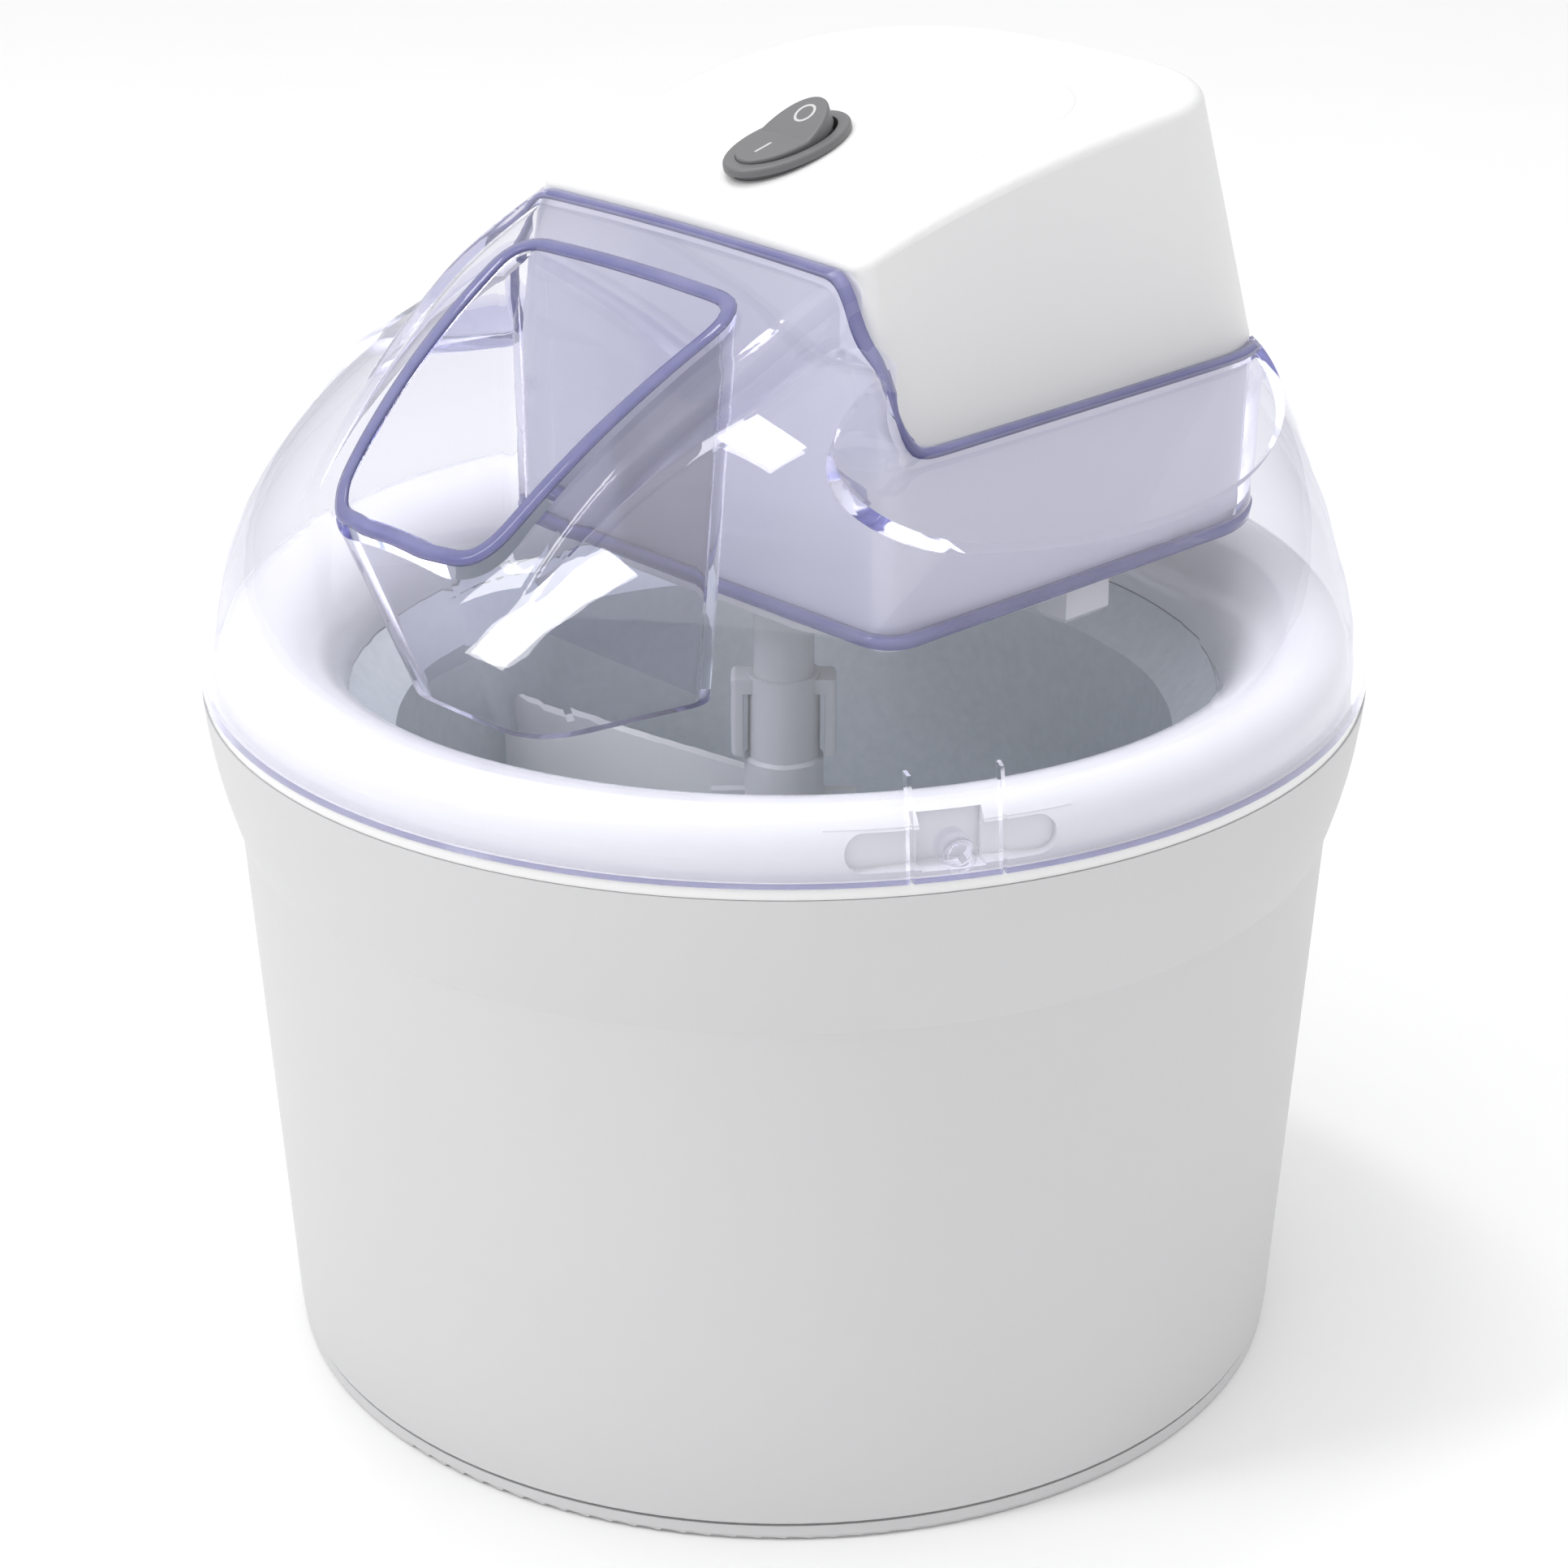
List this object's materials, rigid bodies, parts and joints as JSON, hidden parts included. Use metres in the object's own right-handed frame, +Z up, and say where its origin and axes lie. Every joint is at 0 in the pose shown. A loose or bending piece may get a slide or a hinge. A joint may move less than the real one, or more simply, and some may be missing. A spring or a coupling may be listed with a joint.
{
  "type": "ice cream maker",
  "caption": "Countertop ice cream maker: white housing, gel-filled freezer bowl, clear lid with filling chute, stirrer and top motor unit with rocker switch.",
  "frame": {"origin": "on the bowl's axis, at the height of the surface that the base stands on", "axes": "+Z up along the bowl's axis, -Y towards the filling spout, +Y towards the cord inlet, +X to the right seen from the spout"},
  "size_m": [0.2156, 0.2156, 0.2351],
  "materials": {
    "white_plastic": "satin",
    "clear_plastic": "polished",
    "liner_aluminium": "matte anodised",
    "gel": "gel",
    "milky_plastic": "translucent satin",
    "grey_plastic": "satin",
    "soft_plastic": "matte",
    "gear_plastic": "satin",
    "steel": "zinc plated",
    "copper": "enamelled wire",
    "terminal_brass": "machined"
  },
  "bodies": {
    "base": {"base_plate": "white_plastic", "outer_housing": "white_plastic"},
    "freezer_bowl": {"bowl_outer_shell": "white_plastic", "bowl_fill_plug": "white_plastic", "bowl_rim": "white_plastic", "bowl_liner": "liner_aluminium", "coolant_gel": "gel"},
    "lid": {"clear_lid": "clear_plastic"},
    "motor_unit": {"motor_housing": "white_plastic", "motor_floor": "white_plastic", "cord_inlet_gland": "soft_plastic", "output_bush": "gear_plastic", "idler_pin": "steel", "gearbox_chassis": "steel", "motor_can": "steel", "stator_core": "steel", "field_coils": "copper", "switch_bezel": "grey_plastic", "switch_terminals": "terminal_brass", "housing_screws": "steel", "chassis_screws": "steel", "motor_screws": "steel"},
    "output_drive": {"output_gear": "gear_plastic", "output_coupler": "gear_plastic"},
    "idler": {"idler_gear": "gear_plastic"},
    "rotor": {"rotor_core": "steel", "motor_shaft": "steel", "motor_pinion": "terminal_brass"},
    "rocker": {"switch_rocker": "grey_plastic"},
    "stirrer": {"drive_shaft": "milky_plastic", "stirrer_paddle": "milky_plastic"}
  },
  "joints": [
    {"name": "bowl_lift", "type": "slide", "parent": "base", "child": "freezer_bowl", "axis": [0, 0, 1], "range_m": [0, 0.14]},
    {"name": "lid_lift", "type": "slide", "parent": "freezer_bowl", "child": "lid", "axis": [0, 0, 1], "range_m": [0, 0.08]},
    {"name": "motor_lift", "type": "slide", "parent": "lid", "child": "motor_unit", "axis": [0, 0, 1], "range_m": [0, 0.07]},
    {"name": "rocker_tilt", "type": "hinge", "parent": "motor_unit", "child": "rocker", "pos_m": [0, 0.00113, 0.22691], "axis": [-1, 0, 0], "range_deg": [0, 20]},
    {"name": "stirrer_spin", "type": "hinge", "parent": "freezer_bowl", "child": "stirrer", "pos_m": [0, 0, 0.06], "axis": [0, 0, 1], "continuous": true},
    {"name": "output_spin", "type": "hinge", "parent": "motor_unit", "child": "output_drive", "pos_m": [0, 0, 0.155], "axis": [0, 0, 1], "continuous": true},
    {"name": "idler_spin", "type": "hinge", "parent": "motor_unit", "child": "idler", "pos_m": [0.00869, 0.0225, 0.165], "axis": [0, 0, 1], "continuous": true},
    {"name": "rotor_spin", "type": "hinge", "parent": "motor_unit", "child": "rotor", "pos_m": [0, 0.045, 0.19], "axis": [0, 0, 1], "continuous": true}
  ],
  "couplings": [
    {"joint": "output_spin", "follows": "stirrer_spin", "ratio": 1},
    {"joint": "idler_spin", "follows": "stirrer_spin", "ratio": -3},
    {"joint": "rotor_spin", "follows": "stirrer_spin", "ratio": 9}
  ]
}
